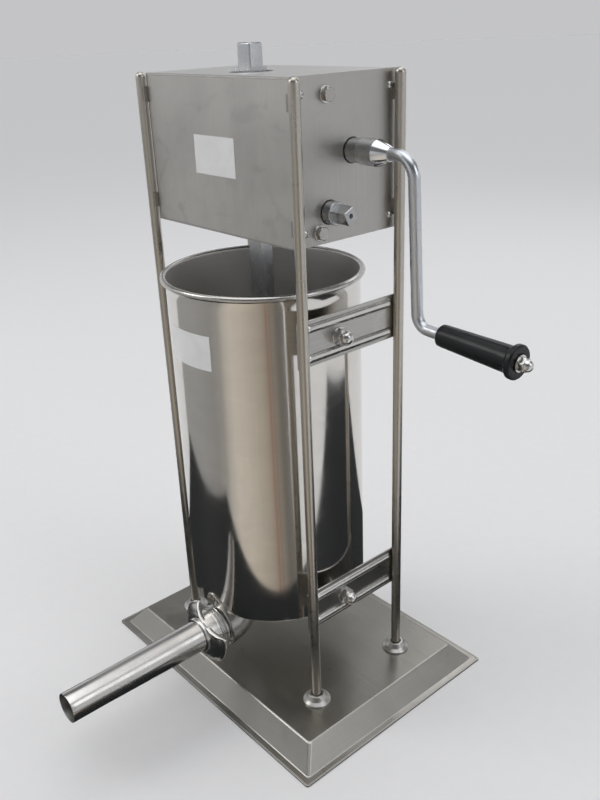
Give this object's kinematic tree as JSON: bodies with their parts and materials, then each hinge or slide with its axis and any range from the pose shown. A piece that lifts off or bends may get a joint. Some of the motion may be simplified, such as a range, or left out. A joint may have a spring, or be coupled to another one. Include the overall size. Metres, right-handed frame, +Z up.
{
  "type": "sausage stuffer",
  "caption": "Upright rack-and-pinion sausage stuffer: a crank lowers a sealed piston through an open barrel and presses its filling out of a nozzle at the foot.",
  "frame": {"origin": "on the ground under the middle of the base tray", "axes": "+Z up along the posts and the rack; -Y to the nozzle; +X to the crank"},
  "size_m": [0.5516, 0.4865, 0.774],
  "materials": {
    "brushed_sheet": "brushed",
    "post_steel": "satin",
    "polished_steel": "polished",
    "zinc_plated": "zinc plated",
    "bright_fastener": "bright",
    "bronze": "machined",
    "black_grip": "matt",
    "seal_white": "silicone",
    "label_white": "blank sticker"
  },
  "bodies": {
    "stand": {"base_tray": "brushed_sheet", "post_front_left": "post_steel", "post_front_right": "post_steel", "post_back_left": "post_steel", "post_back_right": "post_steel", "post_collars": "polished_steel", "post_washers": "bright_fastener", "post_nuts": "bright_fastener", "post_pads": "post_steel", "side_plate_left": "brushed_sheet", "side_plate_right": "brushed_sheet", "gearbox_shell": "brushed_sheet", "bottom_cover": "brushed_sheet", "casing_screws": "bright_fastener", "guide_member_upper": "zinc_plated", "guide_member_lower": "zinc_plated", "guide_bolts": "bright_fastener", "guide_bolt_washers": "bright_fastener", "bearing_plate": "zinc_plated", "upper_bushes": "bronze", "lower_bushes": "bronze", "barrel": "polished_steel", "barrel_bosses": "polished_steel", "elbow_spout": "polished_steel", "spout_gasket": "seal_white", "nozzle": "polished_steel", "bracket_upper_left": "post_steel", "bracket_upper_right": "post_steel", "bracket_lower_left": "post_steel", "bracket_lower_right": "post_steel", "barrel_studs": "bright_fastener", "stud_washers": "bright_fastener", "acorn_nuts": "bright_fastener", "label_casing": "label_white", "label_barrel": "label_white"},
    "crank_drive": {"upper_shaft": "zinc_plated", "rack_pinion": "zinc_plated", "big_gear": "zinc_plated", "shaft_keys": "zinc_plated", "upper_shaft_rings": "zinc_plated", "crank_hub": "polished_steel", "crank_pin": "zinc_plated", "crank_rod": "polished_steel", "grip_washer": "bright_fastener", "grip_nut": "bright_fastener"},
    "grip": {"crank_grip": "black_grip"},
    "slow_shaft": {"lower_shaft": "zinc_plated", "small_gear": "zinc_plated", "lower_shaft_rings": "zinc_plated"},
    "piston": {"rack": "zinc_plated", "rack_pin": "zinc_plated", "piston_hub": "polished_steel", "piston_plate_top": "polished_steel", "piston_seal": "seal_white", "piston_plate_bottom": "polished_steel", "piston_screws": "bright_fastener"},
    "air_valve": {"air_valve": "bright_fastener"},
    "ring_nut": {"ring_nut": "polished_steel"}
  },
  "joints": [
    {"name": "rack_slide", "type": "slide", "parent": "stand", "child": "piston", "axis": [0, 0, 1], "range_m": [0, 0.408]},
    {"name": "crank_turn", "type": "hinge", "parent": "stand", "child": "crank_drive", "pos_m": [0, 0.0105, 0.6727], "axis": [1, 0, 0], "range_deg": [-1105, 5]},
    {"name": "slow_turn", "type": "hinge", "parent": "stand", "child": "slow_shaft", "pos_m": [0, -0.022, 0.61641], "axis": [1, 0, 0], "range_deg": [-5, 4406]},
    {"name": "grip_spin", "type": "hinge", "parent": "crank_drive", "child": "grip", "pos_m": [0.241, 0.0105, 0.5072], "axis": [0.9987, 0, -0.0515], "continuous": true},
    {"name": "air_valve_lift", "type": "slide", "parent": "piston", "child": "air_valve", "axis": [0, 0, 1], "range_m": [0, 0.003]},
    {"name": "ring_nut_spin", "type": "hinge", "parent": "stand", "child": "ring_nut", "pos_m": [0, -0.135, 0.093], "axis": [0, -1, 0], "continuous": true}
  ],
  "couplings": [
    {"joint": "crank_turn", "follows": "rack_slide", "rad_per_m": -47.059},
    {"joint": "slow_turn", "follows": "rack_slide", "rad_per_m": 188.24}
  ]
}
